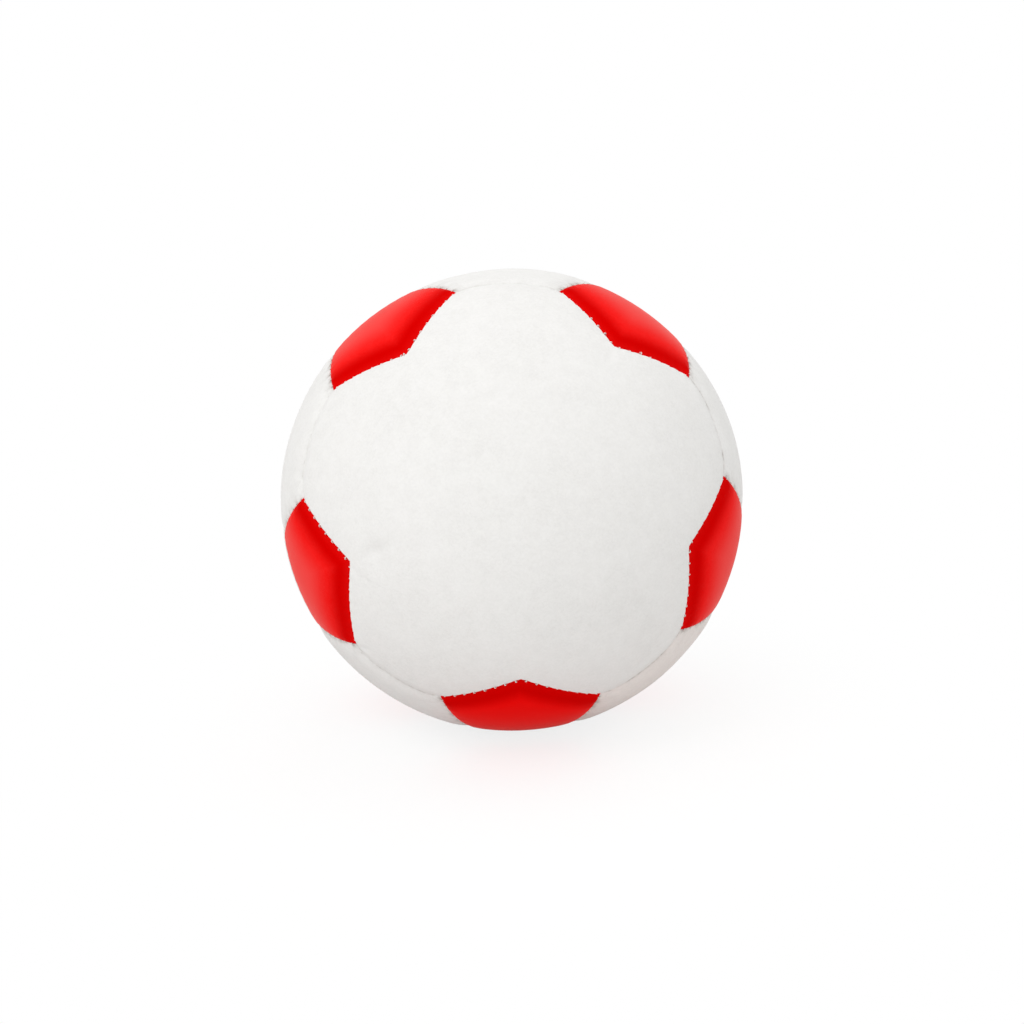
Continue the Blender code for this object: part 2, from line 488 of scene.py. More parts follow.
def fan_faces(row: Array, apex: int, flip: bool) -> Array:
    """Triangles from a closed row to one point.

    Args:
        row: Point indices of the row.
        apex: Index of the point.
        flip: Whether the row runs clockwise as seen from outside.

    Returns:
        Point indices, shape (points in the row, 3).
    """
    after = np.roll(row, -1)
    sides = (after, row) if flip else (row, after)
    return np.stack([*sides, np.full_like(row, apex)], axis=-1)


def joined(parts: list[Shape]) -> Shape:
    """Several shapes as one.

    Args:
        parts: Points and faces of each shape.

    Returns:
        All points, and all faces, which point into them.
    """
    starts = np.cumsum([0] + [len(points) for points, _ in parts])
    faces = [group + start for (_, groups), start in zip(parts, starts) for group in groups]
    return np.concatenate([points for points, _ in parts]), faces


def sweep(paths: Array, ups: Array, radius: float, sides: int, closed: bool = False) -> Shape:
    """Round tubes along paths.

    With t the path's direction and s = t x up, a ring is p + radius (cos(a) (s x t) + sin(a) s). An open path
    ends in a low cone.

    Args:
        paths: Points along each path, shape (paths, points, 3).
        ups: A direction across the path at each point, of the same shape.
        radius: Radius of the tubes.
        sides: Points round a ring.
        closed: Whether each path joins its own start.

    Returns:
        Points of shape (n, 3), and faces.
    """
    if closed:
        ahead = np.roll(paths, -1, axis=1) - np.roll(paths, 1, axis=1)
    else:
        ahead = np.gradient(paths, axis=1)
    tangent = unit(ahead)
    side = unit(np.cross(tangent, ups))
    up = np.cross(side, tangent)
    turn = np.arange(sides)[:, None] / sides * math.tau
    spokes = np.cos(turn) * up[:, :, None, :] + np.sin(turn) * side[:, :, None, :]
    count, rows = paths.shape[:2]
    rings = (paths[:, :, None, :] + radius * spokes).reshape(count, -1, 3)
    body = rows * sides
    if closed:
        groups = [ring_faces(rows + 1, sides) % body]
        points = rings
    else:
        tip = radius / 2 * tangent
        tips = np.stack([paths[:, 0] - tip[:, 0], paths[:, -1] + tip[:, -1]], axis=1)
        points = np.concatenate([rings, tips], axis=1)
        first, last = np.arange(sides), np.arange(body - sides, body)
        groups = [
            ring_faces(rows, sides),
            fan_faces(first, body, flip=True),
            fan_faces(last, body + 1, flip=False),
        ]
    starts = (np.arange(count) * points.shape[1])[:, None, None]
    faces = [(group[None, :, :] + starts).reshape(-1, group.shape[-1]) for group in groups]
    return points.reshape(-1, 3), faces


class SeamKind(Enum):
    """The four kinds of seam."""

    NOTCH = "large panel to red pentagon"
    PLAIN = "large panel to white hexagon"
    SIDE = "red pentagon to white hexagon"
    BELT = "white hexagon to white hexagon"


@dataclass(frozen=True)
class Roll:
    """How one side of a seam rolls over, and how much dirt and painted shade it has there.

    The side rises from the groove by a tight edge and a gentle slope behind it. The edge takes a share of the
    depth over its width, as a quarter of an ellipse. The slope takes the rest and levels out at its reach.
    """

    share: float
    width: float
    reach: float
    dirt_and_shade: float
    dirt_and_shade_reach: float


@dataclass(frozen=True)
class SeamStyle:
    """One kind of seam.

    It has a depth, a dip at each stitch, two sides, and stitches that reach to the left and right. It may bow
    away from the front or back.
    """

    depth: float
    dip: float
    white: Roll
    red: Roll
    stitch_left: float
    stitch_right: float
    stitch_arch: float
    bow: float = 0.0


# A roll's dirt stands for seam grime and for painted shade in the groove.
PLAIN_ROLL = Roll(share=0.12, width=0.0005, reach=0.0024, dirt_and_shade=0.55, dirt_and_shade_reach=0.0003)
BELT_ROLL = replace(PLAIN_ROLL, dirt_and_shade=0.34)
SEAM_STYLES = {
    SeamKind.NOTCH: SeamStyle(
        depth=0.0017,
        dip=0.0002,
        white=Roll(share=0.82, width=0.0005, reach=0.004, dirt_and_shade=0.1, dirt_and_shade_reach=0.0002),
        red=Roll(share=0.35, width=0.0006, reach=0.0052, dirt_and_shade=0.2, dirt_and_shade_reach=0.0004),
        stitch_left=0.00018,
        stitch_right=0.0005,
        stitch_arch=0.00024,
    ),
    SeamKind.PLAIN: SeamStyle(
        depth=0.0006,
        dip=0.00005,
        white=PLAIN_ROLL,
        red=PLAIN_ROLL,
        stitch_left=0.0002,
        stitch_right=0.0002,
        stitch_arch=-0.0003,
        bow=0.00175,
    ),
    SeamKind.SIDE: SeamStyle(
        depth=0.0005,
        dip=0.00008,
        white=Roll(share=0.35, width=0.0008, reach=0.003, dirt_and_shade=0.56, dirt_and_shade_reach=0.0008),
        red=Roll(share=0.8, width=0.0012, reach=0.0028, dirt_and_shade=0.25, dirt_and_shade_reach=0.0003),
        stitch_left=0.00025,
        stitch_right=0.0003,
        stitch_arch=0.00002,
    ),
    SeamKind.BELT: SeamStyle(
        depth=0.0006,
        dip=0.00008,
        white=BELT_ROLL,
        red=BELT_ROLL,
        stitch_left=0.00022,
        stitch_right=0.00022,
        stitch_arch=0.00001,
    ),
}


@dataclass(frozen=True)
class Ball:
    """The ball's sizes, how uneven it is, and the dirt and painted shade in its seams.

    Dirt and painted shade in a seam is a line, with a base and what a stitch adds, and a halo of painted
    shade some widths across. In the plain seams it also goes by the side, as painted shade that is heavier
    towards the lower right: a base, what the way to the shaded side adds, and a least share.
    """

    radius: float
    middle: Array
    axis: Array
    wall: float = 0.0012
    seam_gap: float = 0.00001
    turned_in: float = 0.0035
    stitches: int = 8
    stitch_reach: float = 0.0008
    dirt_and_shade_line: Pair = (0.4, 0.6)
    halo: float = 0.12
    halo_widths: float = 4.0
    # Painted shade: the plain seams' marks grow heavier towards the lower right, away from the key lamp.
    shaded_side: Triple = (0.75, 0.0, -0.5)
    shaded_side_share: Pair = (0.62, 0.5)
    least_shaded_side_share: float = 0.1
    lump: float = 0.00008
    lump_waves: int = 8
    lump_pitch: float = 7.0
    lump_reach: float = 0.004
    lump_seed: int = 7
    press: float = 0.00012
    corner_depths: Triple = (0.0006, 0.0007, 0.0006)
    corner_steps: Pair = (0.34, 0.62)
    corner_reach: float = 0.0025

    @classmethod
    def from_frame(cls, axis: Array, contact_radius: float = 0.007) -> "Ball":
        """The ball that the frame holds.

        A ball of radius R, pressed flat over a patch of radius r, is h = R + sqrt(R^2 - r^2) high, so that
        R = (h^2 + r^2) / 2h.

        Args:
            axis: Direction of the front of the seams.
            contact_radius: Radius of the flat patch that it rests on.

        Returns:
            The ball.
        """
        low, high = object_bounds()
        height = high.z - low.z
        radius = (height**2 + contact_radius**2) / (2 * height)
        return cls(radius=radius, middle=np.array([0.0, 0.0, high.z - radius]), axis=axis)

    def lumps(self, directions: Array) -> Array:
        """Uneven stuffing: a sum of slow sine waves across the ball."""
        chance = np.random.default_rng(self.lump_seed)
        waves = chance.normal(0, self.lump_pitch, (self.lump_waves, 3))
        starts = chance.uniform(0, math.tau, self.lump_waves)
        height = np.sin(directions @ waves.T + starts).sum(axis=-1)
        return self.lump * height / math.sqrt(self.lump_waves)

    def settle(self, points: Array) -> Array:
        """Presses what would sink below the ground flat: z becomes (z + sqrt(z^2 + e^2)) / 2."""
        height = points[..., 2]
        pressed = points.copy()
        pressed[..., 2] = (height + np.sqrt(height**2 + self.press**2)) / 2
        return pressed


@dataclass(frozen=True)
class Seams:
    """Seam edges: great-circle arcs, some of them bowed."""

    start: Array
    end: Array
    ball: Ball

    @classmethod
    def around(cls, corners: Array, ball: Ball) -> "Seams":
        """The edges round a panel."""
        return cls(corners, np.roll(corners, -1, axis=0), ball)

    @property
    def normal(self) -> Array:
        """For each edge, the way square to it, to the left as it runs."""
        return unit(np.cross(self.start, self.end))

    @property
    def angle(self) -> Array:
        """Angle that each edge spans."""
        return np.arccos(np.sum(self.start * self.end, axis=-1))

    @property
    def bow(self) -> Array:
        """How far each edge bows to its left, as an angle."""
        size = self.style("bow") / self.ball.radius
        side = (self.normal @ self.ball.axis) * ((self.start + self.end) @ self.ball.axis)
        return -size * np.sign(side)

    def points(self, share: Array) -> Array:
        """Places on the edges: the arc a(f), pushed to its left by bow (1 - (2 f - 1)^4).

        Args:
            share: Places along the edges from 0 to 1, shape (..., edges).

        Returns:
            Directions, shape (..., edges, 3).
        """
        arc = along_arc(self.start, self.end, share[..., None])
        push = self.bow * (1 - (2 * share - 1) ** 4)
        return unit(arc + push[..., None] * self.normal)

    def ways(self, share: Array) -> Array:
        """For each place on the edges, the way square to the edge, to its left.

        With n the arc's normal, the edge runs along w (n x p) - 8 bow (2 f - 1)^3 n, w being the arc's angle.

        Args:
            share: Places along the edges from 0 to 1, shape (..., edges).

        Returns:
            Directions, shape (..., edges, 3).
        """
        spots = self.points(share)
        slope = -8 * self.bow * (2 * share - 1) ** 3
        run = self.angle[:, None] * np.cross(self.normal, spots) + slope[..., None] * self.normal
        return unit(np.cross(spots, run))

    def ranks(self, corners: Array) -> Array:
        """How near to the front or back each corner lies: 0 at the belt, 1 between, 2 at a notch."""
        return np.digitize(np.abs(corners @ self.ball.axis), self.ball.corner_steps)

    @property
    def kinds(self) -> list[SeamKind]:
        """The kind of each edge, from the corners that it joins."""
        ranks = self.ranks(self.start) + self.ranks(self.end)
        crossing = (self.start @ self.ball.axis) * (self.end @ self.ball.axis) < 0
        by_rank = (SeamKind.SIDE, SeamKind.SIDE, SeamKind.PLAIN, SeamKind.NOTCH)
        return [SeamKind.BELT if over else by_rank[rank] for rank, over in zip(ranks, crossing)]

    def style(self, name: str) -> Array:
        """One value of the style of each edge."""
        return np.array([getattr(SEAM_STYLES[kind], name) for kind in self.kinds])

    def of_kind(self, kind: SeamKind) -> Array:
        """Whether each edge is of a kind."""
        return np.array([own is kind for own in self.kinds])

    def depth(self, share: Array) -> Array:
        """Depth of the groove along each edge.

        It is the seam's own depth, and blends into the corner's depth by exp(-s / reach), s from the corner.

        Args:
            share: Places along the edges from 0 to 1, shape (..., edges).

        Returns:
            Depths of the same shape.
        """
        ball = self.ball
        own = self.style("depth")
        corner = np.array(ball.corner_depths)
        length = self.angle * ball.radius / ball.corner_reach
        first = (corner[self.ranks(self.start)] - own) * np.exp(-share * length)
        last = (corner[self.ranks(self.end)] - own) * np.exp(-(1 - share) * length)
        return own + first + last

    def measure(self, directions: Array) -> tuple[Array, Array]:
        """How far each direction is from each edge, and where along the edge it lies.

        An edge runs from a, with normal m. The foot on it lies at the angle f = atan2(u . (m x a), u . a),
        held between the edge's ends.

        Args:
            directions: Unit vectors u, shape (n, 3).

        Returns:
            Distances to each edge and shares along each edge, both of shape (n, edges).
        """
        side = np.cross(self.normal, self.start)
        turn = np.arctan2(directions @ side.T, directions @ self.start.T)
        share = np.clip(turn / self.angle, 0, 1)
        gap = np.linalg.norm(directions[:, None, :] - self.points(share), axis=-1)
        return 2 * np.arcsin(gap / 2) * self.ball.radius, share


@dataclass(frozen=True)
class Rolls:
    """The rolls along several seams at once, as arrays."""

    share: Array
    width: Array
    reach: Array
    dirt_and_shade: Array
    dirt_and_shade_reach: Array
    bend: float = 5.0

    @classmethod
    def of(cls, kinds: list[SeamKind], red: bool) -> "Rolls":
        """The rolls on the red or the white side of these seams."""
        rolls = [SEAM_STYLES[kind].red if red else SEAM_STYLES[kind].white for kind in kinds]
        return cls(*(np.array(column) for column in zip(*map(astuple, rolls))))

    def rise(self, distance: Array) -> Array:
        """Share of the groove's depth that a side has risen by.

        The edge gives sqrt(1 - (1 - d / width)^2). With x = d / reach, the slope gives
        1 - log(1 + exp(k (1 - x))) / log(1 + exp(k)), which is straight at first and levels out at x = 1.

        Args:
            distance: Distances from the seams, shape (..., seams).

        Returns:
            Shares from 0 to 1.
        """
        edge = np.sqrt(1 - (1 - np.clip(distance / self.width, 0, 1)) ** 2)
        slope = 1 - np.logaddexp(0, self.bend * (1 - distance / self.reach)) / np.logaddexp(0, self.bend)
        return self.share * edge + (1 - self.share) * slope


@dataclass(frozen=True)
class Pucker:
    """A faint dent near a panel's corner.

    It lies at a distance from the corner, in a direction turned from the way to the panel's middle, and runs
    that way.
    """

    corner: int
    turn: float
    distance: float
    length: float
    width: float
    depth: float


class PanelKind(Enum):
    """The three cuts of panel."""

    LARGE = "large_panel"
    PENTAGON = "red_pentagon"
    HEXAGON = "white_hexagon"


@dataclass(frozen=True)
class Panel:
    """One vinyl panel: a closed shell with a swollen outside, rolled edges and turned-in flanges."""

    name: str
    kind: PanelKind
    corners: Array
    centre: Array
    ball: Ball
    puckers: tuple[Pucker, ...] = ()
    seam_steps: int = 48
    fold_rows: int = 7
    shoulder_rows: int = 9
    shoulder: float = 0.004
    row_step: float = 0.0006
    inner_rows: int = 6
    flange_rows: int = 3
    fold_width: float = 0.0007
    far_off: float = 1.0

    @property
    def seams(self) -> Seams:
        """The panel's own edges."""
        return Seams.around(self.corners, self.ball)

    @property
    def is_red(self) -> bool:
        """Whether the panel is cut from red vinyl."""
        return self.kind is PanelKind.PENTAGON

    @property
    def reach(self) -> float:
        """Way over the ball from the panel's middle to its furthest corner."""
        return math.acos(min(self.corners @ self.centre)) * self.ball.radius

    def outline(self) -> tuple[Array, Array, Array]:
        """The panel's edge, and how its rows run from there to its middle.

        Returns:
            Directions along the seams; the way from each towards the panel's middle; and how far to go that
            way for each unit of distance from the seam.
        """
        seams = self.seams
        share = np.arange(self.seam_steps + 1)[:, None] / self.seam_steps
        share = np.repeat(share, len(self.corners), axis=1)
        edge = seams.points(share).swapaxes(0, 1)
        inward = unit(self.centre - edge * (edge @ self.centre)[..., None])
        rate = np.sum(inward * seams.ways(share).swapaxes(0, 1), axis=-1)
        rate[:, 0] = (rate[:, 0] + np.roll(rate[:, -1], 1)) / 2
        edge, inward, rate = edge[:, :-1], inward[:, :-1], rate[:, :-1]
        return edge.reshape(-1, 3), inward.reshape(-1, 3), 1 / rate.reshape(-1)

    def rows(self, distances: Array, count: int) -> Array:
        """Directions of the rows from the seam to just short of the panel's middle.

        Args:
            distances: Distances from the seam of the rows near it.
            count: Number of evenly spaced rows after those.

        Returns:
            Directions, shape (rows, points along the seam, 3).
        """
        edge, inward, stretch = self.outline()
        span = np.arccos(np.clip(edge @ self.centre, -1, 1))
        near = distances[:, None] / self.ball.radius * stretch
        share = np.linspace(0, 1, count + 1, endpoint=False)[1:, None]
        far = near[-1] + (span - near[-1]) * share
        turn = np.concatenate([near, far])[..., None]
        return edge * np.cos(turn) + inward * np.sin(turn)

    def outside(self, directions: Array) -> Array:
        """Distance of the panel's outside from the ball's middle.

        Each seam pulls the panel down by depth (1 - rise). The pulls p add up as (sum of p^4)^(1/4), so that
        the panel turns smoothly round its corners. With x the distance from the seam in stitch reaches, a
        stitch takes off 2 dip sin(pi phase)^4 exp(-x) min(x, 1).

        Args:
            directions: Unit vectors, shape (n, 3).

        Returns:
            Radii, shape (n,).
        """
        ball, seams = self.ball, self.seams
        gaps, shares = seams.measure(directions)
        rise = Rolls.of(seams.kinds, self.is_red).rise(gaps)
        pulls = np.maximum(seams.depth(shares) * (1 - rise), 0)
        pull = np.sum(pulls**4, axis=-1) ** 0.25
        nearest = np.argmin(gaps, axis=-1)
        place = np.arange(len(gaps)), nearest
        lumps = ball.lumps(directions) * np.clip(gaps[place] / ball.lump_reach, 0, 1)
        near = gaps[place] / ball.stitch_reach
        at_stitch = np.sin(np.pi * shares[place] * ball.stitches) ** 4
        dips = 2 * seams.style("dip")[nearest] * at_stitch * np.exp(-near) * np.clip(near, 0, 1)
        return ball.radius - pull + lumps - dips - self.dents(directions)

    def marks(self, directions: Array) -> dict[str, Array]:
        """The numbers that the finish reads: dirt and painted shade in the seams, and the distance from the
        notched seams.

        With x the distance from a seam in dirt-and-shade reaches, the line of dirt and painted shade is
        exp(-x^2), strongest at the stitches, and its halo of painted shade exp(-(x / widths)^2).

        Args:
            directions: Unit vectors, shape (n, 3).

        Returns:
            The numbers by name, each of shape (n,).
        """
        ball, seams = self.ball, self.seams
        rolls = Rolls.of(seams.kinds, self.is_red)
        gaps, shares = seams.measure(directions)
        # Dirt and painted shade along the seams, with a halo of painted shade beside them.
        far = gaps / rolls.dirt_and_shade_reach
        # Painted shade: the plain seams darken more towards the lower right.
        shaded_side_amount = ball.shaded_side_share[0] + ball.shaded_side_share[1] * directions @ np.array(ball.shaded_side)
        shaded_side_amount = np.clip(shaded_side_amount, ball.least_shaded_side_share, 1.0)[:, None]
        amount = rolls.dirt_and_shade * np.where(seams.of_kind(SeamKind.PLAIN), shaded_side_amount, 1.0)
        at_stitch = np.sin(np.pi * shares * ball.stitches) ** 2
        line = np.exp(-(far**2)) * (ball.dirt_and_shade_line[0] + ball.dirt_and_shade_line[1] * at_stitch)
        halo = ball.halo * np.exp(-((far / ball.halo_widths) ** 2))
        notch = np.where(seams.of_kind(SeamKind.NOTCH), gaps, self.far_off)
        return {
            "seam_dirt_and_shade": np.max(amount * (line + halo), axis=-1),
            "notch_distance": np.min(notch, axis=-1),
        }

    def dents(self, directions: Array) -> Array:
        """Depth of the panel's puckers.

        Each is depth exp(-(a / length)^2 - (b / width)^2), with a along it and b across it.

        Args:
            directions: Unit vectors, shape (n, 3).

        Returns:
            Depths, shape (n,).
        """
        total = np.zeros(len(directions))
        for pucker in self.puckers:
            corner = self.corners[pucker.corner]
            inward = unit(self.centre - corner * (corner @ self.centre))
            way = math.cos(pucker.turn) * inward + math.sin(pucker.turn) * np.cross(corner, inward)
            reach = pucker.distance / self.ball.radius
            spot = corner * math.cos(reach) + way * math.sin(reach)
            run = way * math.cos(reach) - corner * math.sin(reach)
            along = directions @ run * self.ball.radius / pucker.length
            across = directions @ np.cross(spot, run) * self.ball.radius / pucker.width
            total += pucker.depth * np.exp(-(along**2) - across**2) * (directions @ spot > 0)
        return total

    def piece(self) -> Piece:
        """The panel's mesh.

        Rows run from the middle of the inside out to the flange's edge, up the flange, over the fold and in
        to the middle of the outside.

        Returns:
            The closed shell.
        """
        ball = self.ball
        fold = ball.seam_gap + self.fold_width * (1 - np.cos(np.linspace(0, np.pi / 2, self.fold_rows)))
        shoulder = np.geomspace(fold[-1], self.shoulder, self.shoulder_rows + 1)[1:]
        outer = self.rows(np.concatenate([fold, shoulder]), round(self.reach / self.row_step))
        radius = self.outside(outer.reshape(-1, 3))
        columns = outer.shape[1]
        outer_points = outer * radius.reshape(-1, columns, 1)
        root = radius[:columns].reshape(1, -1, 1)
        flange = np.linspace(ball.turned_in, 0, self.flange_rows, endpoint=False)
        outer_flange = outer[0] * (root - flange[:, None, None])
        inner = self.rows(np.array([ball.seam_gap + ball.wall, self.shoulder]), self.inner_rows)
        inner_radius = self.outside(inner.reshape(-1, 3)).reshape(-1, columns, 1) - ball.wall
        inner_points = inner * inner_radius
        inner_flange = inner[:1] * (root - ball.turned_in)
        rows = np.concatenate([inner_points[::-1], inner_flange, outer_flange, outer_points])
        apex = self.outside(self.centre[None, :])
        tips = np.stack([self.centre * (apex[0] - ball.wall), self.centre * apex[0]])
        points = np.concatenate([rows.reshape(-1, 3), tips]) + ball.middle
        count = len(rows) * columns
        hidden = count - len(radius)
        middle = self.marks(self.centre[None, :])
        carried = {
            name: np.concatenate([np.full(hidden, values[0]), values, np.repeat(middle[name], 2)])
            for name, values in self.marks(outer.reshape(-1, 3)).items()
        }
        first, last = np.arange(columns), np.arange(count - columns, count)
        faces = [
            ring_faces(len(rows), columns),
            fan_faces(first, count, flip=True),
            fan_faces(last, count + 1, flip=False),
        ]
        return Piece(f"{self.name}_skin", ball.settle(points), faces, carried)

    def flat_size(self) -> Pair:
        """Width and area of the panel as it was cut, with its turned-in edge."""
        ball = self.ball
        reach = self.reach + ball.turned_in
        edge, _, _ = self.outline()
        spans = np.arccos(np.clip(edge @ self.centre, -1, 1))
        step = math.tau / len(spans)
        cap = float(np.sum(1 - np.cos(spans)) * step) * ball.radius**2
        hem = float(self.seams.angle.sum()) * ball.radius * ball.turned_in
        return 2 * reach, cap + hem


@dataclass(frozen=True)
class Tail:
    """A loose end of thread: where on which edge it starts, where it points and how long it is."""

    edge: int
    share: float
    turn: float
    length: float
    curl: float
    lift: float


@dataclass(frozen=True)
class SeamThread:
    """The thread of one run of seams: the line inside and the stitches that bridge the groove."""

    name: str
    seams: Seams
    closed: bool
    ball: Ball
    seed: int
    show: Array
    tails: tuple[Tail, ...] = ()
    line_radius: float = 0.0002
    line_depth: float = 0.0009
    line_steps: int = 12
    end_gap: float = 0.0009
    stitch_radius: float = 0.000125
    stitch_vary: Pair = (0.8, 1.15)
    stitch_skew: float = 0.16
    tail_radius: float = 0.00011
    tail_steps: int = 12
    tail_root: float = 0.0012
    sides: int = 6
    bend_steps: int = 7

    def line(self) -> Shape:
        """The thread that runs along the seams, below the groove: a round tube.

        Returns:
            Points from the ball's middle, and faces.
        """
        ball, seams = self.ball, self.seams
        edges = len(seams.start)
        trim = 0.0 if self.closed else self.end_gap / ball.radius / seams.angle[0] / edges
        count = edges * self.line_steps
        spread = np.linspace(trim, 1 - trim, count, endpoint=not self.closed) * edges
        edge = np.minimum(spread.astype(int), edges - 1)
        share = np.repeat((spread - edge)[:, None], edges, axis=1)
        place = np.arange(count), edge
        path = seams.points(share)[place]
        points = path * (ball.radius - seams.depth(share)[place] - self.line_depth)[:, None]
        return sweep(points[None], path[None], self.line_radius, self.sides, self.closed)

    def bridges(self) -> Shape:
        """The stitches across the groove: short arched tubes, one at each stitch.

        A stitch runs from its right end to its left end square to the seam. Its height is the straight line
        between the two sides there, raised by arch (1 - q^4), q from -1 to 1. Where a stitch shows less, it
        lies deeper and is shorter.

        Returns:
            Points from the ball's middle, and faces.
        """
        ball, seams = self.ball, self.seams
        edges = len(seams.start)
        chance = np.random.default_rng(self.seed)
        middles = (np.arange(ball.stitches) + 0.5) / ball.stitches
        share = np.repeat(middles[:, None], edges, axis=1)
        white, red = Rolls.of(seams.kinds, False), Rolls.of(seams.kinds, True)
        vary = chance.uniform(*self.stitch_vary, (3, *share.shape))
        left = seams.style("stitch_left") * vary[0]
        right = seams.style("stitch_right") * vary[1] * (1 + self.show) / 2
        arch = seams.style("stitch_arch") * vary[2] * self.show
        left_rise = np.where(seams.of_kind(SeamKind.SIDE), red.rise(left), white.rise(left))
        right_rise = np.where(seams.of_kind(SeamKind.NOTCH), red.rise(right), white.rise(right))
        depth = seams.depth(share)
        skew = chance.normal(0, self.stitch_skew, share.shape)
        step = np.linspace(-1, 1, self.bend_steps)
        mix = (step + 1) / 2
        rise = right_rise[..., None] * (1 - mix) + left_rise[..., None] * mix
        height = ball.radius - depth[..., None] * (1 - rise) + arch[..., None] * (1 - step**4)
        height = height - self.stitch_radius * step**4
        across = left[..., None] * mix - right[..., None] * (1 - mix)
        spots = seams.points(share)[:, :, None, :]
        normal = seams.ways(share)[:, :, None, :]
        along = np.cross(normal, spots)
        paths = spots * height[..., None] + normal * across[..., None]
        paths = paths + along * (across * skew[..., None])[..., None]
        paths = paths.reshape(-1, self.bend_steps, 3)
        ups = np.broadcast_to(spots, (*share.shape, self.bend_steps, 3)).reshape(paths.shape)
        return sweep(paths, ups, self.stitch_radius, self.sides)

    def ends(self) -> Shape:
        """The loose ends: thin curled tubes that start in a corner and come to lie on a panel.

        With q from 0 to 1, an end runs length q straight out and curl sin(pi q / 2) aside. It starts root
        below the ball's radius, comes up by root (1 - q)^6 and arches by lift sin(pi q).

        Returns:
            Points from the ball's middle, and faces.
        """
        ball, seams = self.ball, self.seams
        edge = [tail.edge for tail in self.tails]
        turn, length, curl, lift = np.array(
            [(tail.turn, tail.length, tail.curl, tail.lift) for tail in self.tails]
        ).T[..., None, None]
        share = np.array([[tail.share] * len(seams.start) for tail in self.tails])
        place = np.arange(len(edge)), edge
        spot = seams.points(share)[place][:, None, :]
        normal = seams.ways(share)[place][:, None, :]
        along = np.cross(normal, spot)
        out = np.cos(turn) * normal + np.sin(turn) * along
        aside = np.cross(spot, out)
        q = np.linspace(0, 1, self.tail_steps)[None, :, None]
        height = ball.radius - self.tail_root * (1 - q) ** 6 + lift * np.sin(np.pi * q)
        path = spot * height + out * (length * q) + aside * (curl * np.sin(np.pi * q / 2))
        return sweep(path, np.broadcast_to(spot, path.shape), self.tail_radius, self.sides)

    def piece(self) -> Piece:
        """The whole thread as one mesh."""
        parts = [self.line(), self.bridges()]
        if self.tails:
            parts.append(self.ends())
        points, faces = joined(parts)
        return Piece(f"{self.name}_stitches", points + self.ball.middle, faces)


@dataclass(frozen=True)
class Stuffing:
    """The fibre inside: a soft pad behind every panel, and a trench along every seam."""

    panels: list[Panel]
    ball: Ball
    clearance: float = 0.0003
    seam_steps: int = 10
    rows: int = 7
    trench_half: float = 0.0024
    trench_room: float = 1.2
    merge: float = 1e-5
    fill: float = 0.9

    def patch(self, panel: Panel) -> Shape:
        """The stuffing behind one panel, from the trench's floor to the middle of its pad.

        Args:
            panel: The panel that the pad fills.

        Returns:
            Points from the ball's middle, and faces.
        """
        ball = self.ball
        coarse = replace(panel, puckers=(), seam_steps=self.seam_steps)
        groove = self.trench_room * max(ball.corner_depths)
        floor = ball.radius - groove - ball.turned_in - self.clearance
        inset = np.array([0.0, self.trench_half, 2 * self.trench_half])
        rows = coarse.rows(inset, self.rows)
        columns = rows.shape[1]
        drop = ball.wall + self.clearance
        radius = coarse.outside(rows.reshape(-1, 3)).reshape(-1, columns, 1) - drop
        ground = np.stack([rows[0] * floor, rows[1] * floor])
        pad = rows[1:] * radius[1:]
        apex = panel.centre * (coarse.outside(panel.centre[None, :])[0] - drop)
        grid = np.concatenate([ground, pad])
        points = np.concatenate([grid.reshape(-1, 3), apex[None, :]])
        count = len(points) - 1
        last = np.arange(count - columns, count)
        return points, [ring_faces(len(grid), columns), fan_faces(last, count, flip=False)]

    def build(self, material: bpy.types.Material) -> bpy.types.Object:
        """Puts the stuffing into the scene, its patches joined along the seams.

        Args:
            material: The finish.

        Returns:
            The new object.
        """
        points, faces = joined([self.patch(panel) for panel in self.panels])
        points = points + self.ball.middle
        points[:, 2] = np.maximum(points[:, 2], self.ball.wall + self.clearance)
        made = Piece("stuffing", points, faces).build(material, "polyester_fibre")
        bm = bmesh.new()
        bm.from_mesh(made.data)
        bmesh.ops.remove_doubles(bm, verts=bm.verts[:], dist=self.merge)
        bm.to_mesh(made.data)
        bm.free()
        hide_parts("fibre_stuffing")
        return made


